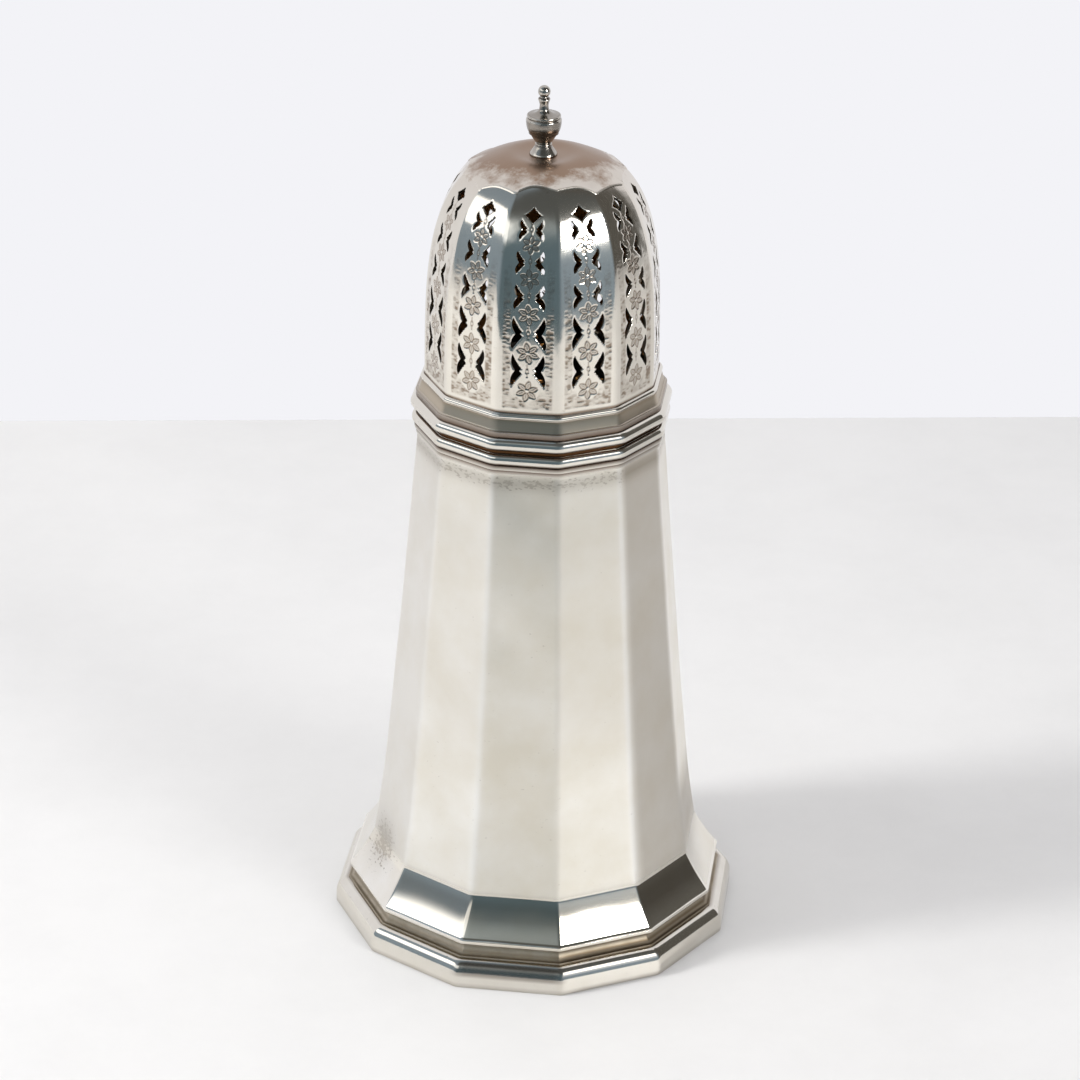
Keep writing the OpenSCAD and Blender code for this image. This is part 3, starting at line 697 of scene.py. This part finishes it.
def gore_sheet(panel):
    """One gore as a grid. Rows follow the run s up the panel to the crest, where the vault meets the crown's
    sphere, and then the sphere to the seat. Columns start in the margin of the panel before, cross the
    rounded arris and the margin after it, and end at the far edge of the pierced field."""
    step = spread(0, 1, 9)
    arris = TURN * np.arange(1, 8) / 8
    field = spread(-1, 1, int(2 * FIELD_HALF / CELL) + 1)
    kind = np.repeat([0, 1, 2, 3], [len(step), len(arris), len(step) - 1, len(field)])
    u = np.concatenate([step, arris, step[:0:-1], field])
    before = kind < 2

    def on_panel(s):
        """Place along and out from the middle of a panel for a grid of runs."""
        half = np.interp(s, vault_run, vault_half)
        soft = np.interp(s, [0, 20, 42], [3.4, 3.0, 2.6])
        flat = (half - soft) * EDGE
        inner = np.minimum(FIELD_HALF, flat - HEAD_GAP)
        margin = inner + u * (flat - inner)
        full = half * EDGE
        turn = soft - SWELL * (flat / full) ** 2
        along = np.choose(kind, [margin, flat + turn * np.sin(u), -margin, u * inner])
        out = np.where(kind == 1, half - soft + turn * np.cos(u), half - SWELL * (along / full) ** 2)
        return along, out

    along = on_panel(np.full((1, len(u)), FIELD_RUN))[0][0]
    middle = np.clip(np.abs(along) / (np.interp(FIELD_RUN, vault_run, vault_half) * EDGE), 0, 1)
    owner = np.where(before, panel - 1, panel) % SIDES
    arris_crest = np.where(before | (along < 0), CREST_ARRIS[panel], CREST_ARRIS[(panel + 1) % SIDES])
    crest = CREST_MIDDLE[owner] * (1 - middle ** 2) + arris_crest * middle ** 2
    low_rows = spread(0, FIELD_RUN, int(FIELD_RUN / CELL) + 1)[:, None] + np.zeros(len(u))
    head_rows = FIELD_RUN + (crest - FIELD_RUN) * HEAD_ROWS[:, None]
    s = np.concatenate([low_rows, head_rows])

    along, out = on_panel(s)
    cut = np.full(s.shape, FAR_FROM_CUTS)
    inside = kind == 3
    x_in, s_in = along[:, inside], s[:, inside]
    limit = 0.6 * CELL
    steep = np.sqrt(cut_slope(x_in, s_in, panel)[2])
    near = np.abs(pierced(x_in, s_in, panel)) / steep < limit
    near[:, [0, -1]] = False
    near[[0, -1]] = False
    for _ in range(3):
        slope_x, slope_s, square = cut_slope(x_in, s_in, panel)
        move = np.where(near, pierced(x_in, s_in, panel) / square, 0)
        x_in = x_in - np.clip(move * slope_x, -limit, limit)
        s_in = s_in - np.clip(move * slope_s, -limit, limit)
    cut[:, inside] = np.where(near, 0, pierced(x_in, s_in, panel) / np.sqrt(cut_slope(x_in, s_in, panel)[2]))
    along[:, inside] = x_in
    s[:, inside] = s_in
    half_in = np.interp(s_in, vault_run, vault_half)
    out[:, inside] = half_in - SWELL * (x_in / (half_in * EDGE)) ** 2

    height, tarnish = np.zeros(s.shape), np.zeros(s.shape)
    flat_now = kind != 1
    height[:, flat_now], tarnish[:, flat_now] = relief(along[:, flat_now], s[:, flat_now], owner[flat_now],
                                                       cut[:, flat_now])
    tarnish = np.maximum(tarnish, 0.8 * np.clip((0.5 - s) / 0.3, 0, 1))
    lean = np.interp(s, vault_run, vault_lean)
    face = np.where(kind == 1, u, 0)
    along = along + height * np.cos(lean) * np.sin(face)
    out = out + height * np.cos(lean) * np.cos(face)
    high = np.interp(s, vault_run, vault_high) + height * np.sin(lean)
    flat = turned(along, out, TURN * np.where(before, panel - 1, panel))
    points = np.concatenate([flat, high[..., None]], axis=-1)

    top = points[-1]
    radius = np.hypot(top[:, 0], top[:, 1])
    shrink = np.concatenate([[0.012, 0.03], spread(0.06, 1, 20)])[:, None]
    ring = radius + (SEAT_R - radius) * shrink
    ball_top = CROWN_Z + np.sqrt(CROWN_R ** 2 - radius ** 2)
    blend = (1 - shrink) ** 3
    sunk = (CROWN_Z + CROWN_R - SEAT_Z) * np.exp(-(ring / SEAT_DISH) ** 4)
    cap_high = CROWN_Z + np.sqrt(CROWN_R ** 2 - ring ** 2) - sunk + (top[:, 2] - ball_top) * blend
    lip = CREST_LIP * np.exp(-((shrink - 0.03) / 0.03) ** 2)
    cap_high = cap_high + lip * np.sqrt(1 - (ring / CROWN_R) ** 2)
    cap_flat = top[None, :, :2] * ((ring + lip * ring / CROWN_R) / radius)[..., None]
    cap = np.concatenate([cap_flat, cap_high[..., None]], axis=-1)
    points = np.concatenate([points, cap])
    crown = np.hypot(points[..., 0] - STAIN_AT[0], points[..., 1] - STAIN_AT[1])
    cap_mark = np.concatenate([np.zeros(s.shape), np.ones(cap_high.shape)])
    tarnish = np.concatenate([tarnish, np.zeros(cap_high.shape)])
    cut = np.concatenate([cut, np.full(cap_high.shape, FAR_FROM_CUTS)])
    outward = points - np.array([0, 0, Z_DOME])
    outward = outward / np.linalg.norm(outward, axis=-1, keepdims=True)
    points = points + (hand_made(points * 1.3, 0.04) + hand_made(points * 5.0, 0.008))[..., None] * outward
    return points, cut, tarnish, crown, cap_mark


def dome_gore(panel):
    """Makes one gore: quads clear of the cuts stay, a quad with one corner in a cut keeps its other half, and
    the rest are dropped. The wall's thickness goes inwards."""
    points, cut, tarnish, crown, cap_mark = gore_sheet(panel)
    rows, columns = cut.shape
    quads = grid_faces(rows, columns, False, False)
    gone = (cut < 0).ravel()[quads]
    level = cut.ravel()[quads]
    edge_only = (level == 0).all(axis=1)
    whole = quads[(gone.sum(axis=1) == 0) & ~edge_only]
    single = gone.sum(axis=1) == 1
    first = np.argmax(gone[single], axis=1)
    order = (first[:, None] + np.array([1, 2, 3])) % 4
    halves = np.take_along_axis(quads[single], order, axis=1)
    used, numbers = np.unique(np.concatenate([whole.ravel(), halves.ravel()]), return_inverse=True)
    quad_numbers = numbers[:whole.size].reshape(-1, 4)
    half_numbers = numbers[whole.size:].reshape(-1, 3)
    piece = make_piece(f"dome_gore_{panel + 1:02d}", points.reshape(-1, 3)[used], quad_numbers, half_numbers,
                       "cover", "cover_dome", "pierced_silver",
                       [pierced_silver, dome_inside_silver, sawn_silver], tarnish=tarnish.ravel()[used],
                       crown=crown.ravel()[used], cap=cap_mark.ravel()[used])
    edge_of_corner = np.empty(len(piece.data.loops), dtype=np.int32)
    piece.data.loops.foreach_get("edge_index", edge_of_corner)
    open_edge = np.bincount(edge_of_corner, minlength=len(piece.data.edges)) == 1
    piece.data.edges.foreach_set("use_edge_sharp", open_edge)
    wall = piece.modifiers.new("wall", "SOLIDIFY")
    wall.thickness = SHEET * MM
    wall.offset = -1
    wall.material_offset = 1
    wall.material_offset_rim = 2


for panel_number in range(SIDES):
    dome_gore(panel_number)

# The finial, turned and set on a hair to the left of the axis

finial_line = np.concatenate([
    run_of(np.array([0.0, 1.2, 1.2]), np.array([-2.7, -2.7, -0.1])),
    run_of(np.array([2.5, 2.6, 2.56, 2.38, 2.12, 1.86, 1.66, 1.54]),
           np.array([-0.1, 0.04, 0.2, 0.45, 0.8, 1.15, 1.45, 1.7]),
           np.array([0.4, 0.1, 0.05, 0.05, 0.1, 0.15, 0.3, 0.6])),
    arc(1.42, 1.92, 0.16, 0.16, -80, 80, 7), run_of(np.array([1.36, 1.38]), np.array([2.14, 2.24]), 0.9),
    run_of(np.array([1.56, 1.76, 1.98, 2.22, 2.42, 2.48]), np.array([2.4, 2.65, 3.0, 3.4, 3.72, 3.86]),
           np.array([0.4, 0.2, 0.15, 0.2, 0.5, 1.0])),
    run_of(np.array([2.64, 2.78]), np.array([3.92, 4.02]), 0.3), arc(2.4, 6.5, 0.88, 2.45, -66, 0, 11, 0.5),
    arc(2.96, 6.6, 0.32, 0.3, 0, 70, 5), run_of(np.array([3.02, 3.0]), np.array([6.98, 7.08]), 0.8),
    arc(2.98, 7.34, 0.16, 0.22, -70, 80, 7), run_of(np.array([2.9, 2.8]), np.array([7.57, 7.58]), 0.5),
    hollow(2.75, 7.6, 0.86, 8.9, 13, 0.35),
    run_of(np.array([0.82, 0.83, 0.88, 0.96]), np.array([9.2, 9.5, 9.75, 10.0]), 0.35),
    run_of(np.array([1.05, 1.12, 1.1]), np.array([10.25, 10.48, 10.62]), 0.1),
    run_of(np.array([0.95, 0.9]), np.array([10.72, 10.82]), 0.9), arc(0.0, 11.95, 1.15, 1.15, -62, 90, 19)])
FINIAL_AT = np.array([-0.38, -0.05])
spin = np.radians(spread(0, 360, 73)[:-1])
finial_ring = np.stack([np.cos(spin), np.sin(spin)], axis=-1)
finial_flat = FINIAL_AT + finial_line[:, 0, None, None] * finial_ring
finial_high = np.broadcast_to(SEAT_Z + finial_line[:, 1, None, None], finial_flat.shape[:2] + (1,))
finial_points = np.concatenate([finial_flat, finial_high], axis=-1)
make_piece("urn_finial", finial_points.reshape(-1, 3), grid_faces(len(finial_line), len(spin), False, True),
           NO_TRIANGLES, "cover", "finial", "cast_silver", [cast_silver],
           tarnish=np.repeat(finial_line[:, 3:], len(spin), axis=1))

# Solids whose shape is right keep it and take the inside finish
for node_name in ("base_plate", "finial_nut"):
    node_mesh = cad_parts[node_name].data
    node_mesh.materials.clear()
    node_mesh.materials.append(inside_silver)

# The table, the dim room that the silver mirrors in front of it, and the lamps


def stage_mesh(name, points, rows, columns, material):
    """A stage object from a grid of points in millimetres."""
    mesh = bpy.data.meshes.new(name)
    mesh.from_pydata((points * MM).tolist(), [], grid_faces(rows, columns, False, False).tolist())
    mesh.materials.append(material)
    mesh.shade_smooth()
    item = bpy.data.objects.new(name, mesh)
    bpy.context.scene.collection.objects.link(item)
    return item


TABLE_FRONT = -386.0
TABLE_BACK = 231.8
TABLE_SIDE = 1100.0
TABLE_TURN = math.radians(9.78)
SMEAR_MM = 60.0
# White laminate: smooth, faintly smeared by wiping and with a weak shine
table_paint = bpy.data.materials.new("white_laminate_table")
tree = empty_tree(table_paint)
where = add(tree, "TexCoord").outputs["Object"]
smear = add(tree, "TexNoise", {"Vector": where, "Scale": 1 / (SMEAR_MM * MM), "Detail": 6.0,
                               "Roughness": 0.7}).outputs["Fac"]
wiped = add(tree, "MapRange", {"Value": smear, "From Min": 0.4, "From Max": 0.7}).outputs["Result"]
white = add(tree, "Mix", {"Factor": wiped, "A": linear("#EEEDEB"), "B": linear("#E9E8E6")}, data_type="RGBA")
paint = add(tree, "BsdfPrincipled", {"Base Color": white.outputs["Result"], "Roughness": 0.45,
                                     "Specular IOR Level": 0.2})
add(tree, "OutputMaterial", {"Surface": paint.outputs["BSDF"]})
table_x, table_y = np.meshgrid([-TABLE_SIDE, TABLE_SIDE], [TABLE_FRONT, TABLE_BACK])
table_points = np.stack([table_x * math.cos(TABLE_TURN) - table_y * math.sin(TABLE_TURN),
                         table_x * math.sin(TABLE_TURN) + table_y * math.cos(TABLE_TURN), 0 * table_x],
                        axis=-1)
stage_mesh("table_top", table_points.reshape(-1, 3), 2, 2, table_paint)

ROOM_R = 1600.0
ROOM_LOW = "#5F717B"
ROOM_HIGH = "#5A5D5D"
ROOM_SIDE = "#8C9BA8"
ROOM_RIGHT = "#5C5A56"
ROOM_PATCH = "#7E8486"
room_paint = bpy.data.materials.new("dim_room")
tree = empty_tree(room_paint)
shade = add(tree, "Attribute", attribute_name="shade").outputs["Color"]
glow = add(tree, "Emission", {"Color": shade, "Strength": 1.0})
add(tree, "OutputMaterial", {"Surface": glow.outputs["Emission"]})


def ramp(value, start, stop):
    """A smooth step over directions in degrees: 0 at start, 1 at stop, t^2 (3 - 2t) between."""
    t = np.clip((value - start) / (stop - start), 0, 1)
    return (t * t * (3 - 2 * t))[..., None]


def room_shade(azimuth, rise):
    """Light of the dim room in each direction: bluish low down and grey high up, paler to the sides, dark far
    to the right, with a grey patch in front, a pale wall on the left and a soft glow under the right soft
    box."""
    low, high, side, far = (np.array(linear(code)) for code in (ROOM_LOW, ROOM_HIGH, ROOM_SIDE, ROOM_RIGHT))
    shade = high + ramp(rise, 48, 22) * (low - high)
    beside = ramp(azimuth, -19, -50) + ramp(azimuth, 14, 44) * ramp(rise, 40, 14)
    shade = shade + beside * (side - shade)
    shade = shade + ramp(azimuth, 68, 92) * (far - shade)
    patch = np.exp(-((azimuth + 12) / 24) ** 2 - ((rise - 37) / 8) ** 2)[..., None]
    wall = ramp(azimuth, -10, -20) * ramp(azimuth, -100, -86) * ramp(rise, 20, 24) * ramp(rise, 43, 36)
    under_box = ramp(azimuth, 30, 44) * ramp(azimuth, 80, 66) * ramp(rise, 12, 19) * ramp(rise, 40, 34)
    return shade + patch * np.array(linear(ROOM_PATCH)) + 1.1 * wall + 0.4 * under_box


def room_card(name, points, shade):
    """A piece of the dim room, a grid of points that only reflections see."""
    rows, columns = points.shape[:2]
    card = stage_mesh(name, points.reshape(-1, 3), rows, columns, room_paint)
    marks = card.data.attributes.new("shade", "FLOAT_COLOR", "POINT")
    marks.data.foreach_set("color", shade.astype(np.float32).ravel())
    card.visible_camera = False
    card.visible_diffuse = False
    card.visible_transmission = False
    card.visible_shadow = False


def room_sheet(name, ways):
    """A room card far out along a grid of directions."""
    azimuth = np.degrees(np.arctan2(ways[..., 0], -ways[..., 1]))
    rise = np.degrees(np.arcsin(ways[..., 2]))
    room_card(name, ROOM_R * ways, room_shade(azimuth, rise))


side, over_front = np.meshgrid(np.radians(spread(-88, 88, 133)), np.radians(spread(-60, 95, 117)))
room_sheet("dim_room_front", np.stack([np.sin(side), -np.cos(side) * np.cos(over_front),
                                       np.cos(side) * np.sin(over_front)], axis=-1))
across, tilt_up = np.meshgrid(spread(0, 1, 13), np.radians(spread(-40, 60, 51)))
far_end = np.interp(np.degrees(tilt_up), [10, 15, 22, 32, 45], [114, 116, 118.5, 122, 130])
turn_back = np.radians(88 + (far_end - 88) * across)
room_sheet("dim_room_right", np.stack([np.sin(turn_back) * np.cos(tilt_up),
                                       -np.cos(turn_back) * np.cos(tilt_up), np.sin(tilt_up)], axis=-1))


def soft_box(name, azimuth_deg, distance, low, high, width, power):
    """An upright area lamp that faces the axis: its middle is at an azimuth from -Y towards +X, so far from
    the axis, between two heights."""
    a = math.radians(azimuth_deg)
    lamp = bpy.data.lights.new(name, "AREA")
    lamp.shape = "RECTANGLE"
    lamp.size = width * MM
    lamp.size_y = (high - low) * MM
    lamp.energy = power
    item = bpy.data.objects.new(name, lamp)
    bpy.context.scene.collection.objects.link(item)
    place = Matrix.Translation((math.sin(a) * distance * MM, -math.cos(a) * distance * MM,
                                (low + high) / 2 * MM))
    item.matrix_world = place @ Matrix.Rotation(a, 4, "Z") @ Matrix.Rotation(math.radians(90), 4, "X")
    item.visible_camera = False
    return item


def box_card(name, azimuth_deg, distance, low, high, width, level):
    """A pale card where a soft box stands, for reflections only: two corners to each side of an azimuth, at
    two heights."""
    a = math.radians(azimuth_deg)
    along, z = np.meshgrid([-width / 2, width / 2], [low, high])
    points = np.stack([math.sin(a) * distance + along * math.cos(a),
                       along * math.sin(a) - math.cos(a) * distance, z], axis=-1)
    room_card(name, points, np.full(z.shape + (4,), level))


# The soft boxes light the table. Sheen lamps in the same places are for reflections only. The mirror-bright
# mouldings don't see those lamps but the pale cards behind them, which keep their thin highlights soft. Each
# box is given by its lower and upper edge and its width
LEFT_BOX = (428, 910, 560)
RIGHT_BOX = (354, 690, 320)
mirrors = bpy.data.collections.new("mirror_mouldings")
for piece in (foot_rim, neck_bead, cover_bead):
    mirrors.objects.link(piece)
for member in mirrors.collection_objects:
    member.light_linking.link_state = "EXCLUDE"
for lamp in (soft_box("left_soft_box", -69, 990, *LEFT_BOX, 3.6),
             soft_box("left_key_lamp", -69, 730, 480, 620, 140, 4.2),
             soft_box("right_soft_box", 55, 750, *RIGHT_BOX, 2.6)):
    lamp.visible_glossy = False
for lamp in (soft_box("left_sheen_lamp", -69, 990, *LEFT_BOX, 2.9),
             soft_box("right_sheen_lamp", 55, 750, *RIGHT_BOX, 2.0),
             soft_box("right_low_sheen_lamp", 58, 760, 354, 620, 320, 5.0)):
    lamp.visible_diffuse = False
    lamp.light_linking.receiver_collection = mirrors
box_card("left_box_card", -69, 1000, *LEFT_BOX, 1.8)
box_card("right_box_card", 56, 770, 354, 690, 350, 2.2)

# A pale sky, dimmer as a light than it looks
SKY_LIGHT = 0.66
world = bpy.data.worlds.new("pale_studio")
bpy.context.scene.world = world
tree = empty_tree(world)
path = add(tree, "LightPath").outputs
seen = add(tree, "Math", {0: path["Is Camera Ray"], 1: path["Is Glossy Ray"]}, operation="MAXIMUM").outputs[0]
shown = add(tree, "Math", {0: seen, 1: path["Is Transmission Ray"]}, operation="MAXIMUM").outputs[0]
level = add(tree, "Mix", {"Factor": shown, "A": SKY_LIGHT, "B": 1.0}, data_type="FLOAT").outputs["Result"]
sky = add(tree, "Background", {"Color": linear("#F3F3F7"), "Strength": level})
add(tree, "OutputWorld", {"Surface": sky.outputs["Background"]})

# The camera of the photograph: a long lens, 26 degrees above the table and rolled by under a degree

AZIMUTH = math.radians(7.07)
ELEVATION = math.radians(25.90)
ROLL = math.radians(0.89)
DISTANCE = 723.7
LENS = 125.33
SENSOR = 36.0
AIM = np.array([0.09 * math.cos(AZIMUTH), 0.09 * math.sin(AZIMUTH), 78.1])
back = np.array([math.sin(AZIMUTH) * math.cos(ELEVATION), -math.cos(AZIMUTH) * math.cos(ELEVATION),
                 math.sin(ELEVATION)])
level_right = np.array([math.cos(AZIMUTH), math.sin(AZIMUTH), 0.0])
level_up = np.cross(back, level_right)
right = math.cos(ROLL) * level_right + math.sin(ROLL) * level_up
up = -math.sin(ROLL) * level_right + math.cos(ROLL) * level_up
lens = bpy.data.cameras.new("camera")
lens.lens = LENS
lens.sensor_width = SENSOR
lens.clip_start = 0.01
lens.clip_end = 20.0
camera = bpy.data.objects.new("camera", lens)
bpy.context.scene.collection.objects.link(camera)
turn = np.eye(4)
turn[:3, :3] = np.stack([right, up, back], axis=1)
turn[:3, 3] = (AIM + DISTANCE * back) * MM
camera.matrix_world = Matrix(turn.tolist())
bpy.context.scene.camera = camera
bpy.context.scene.view_settings.view_transform = "Standard"
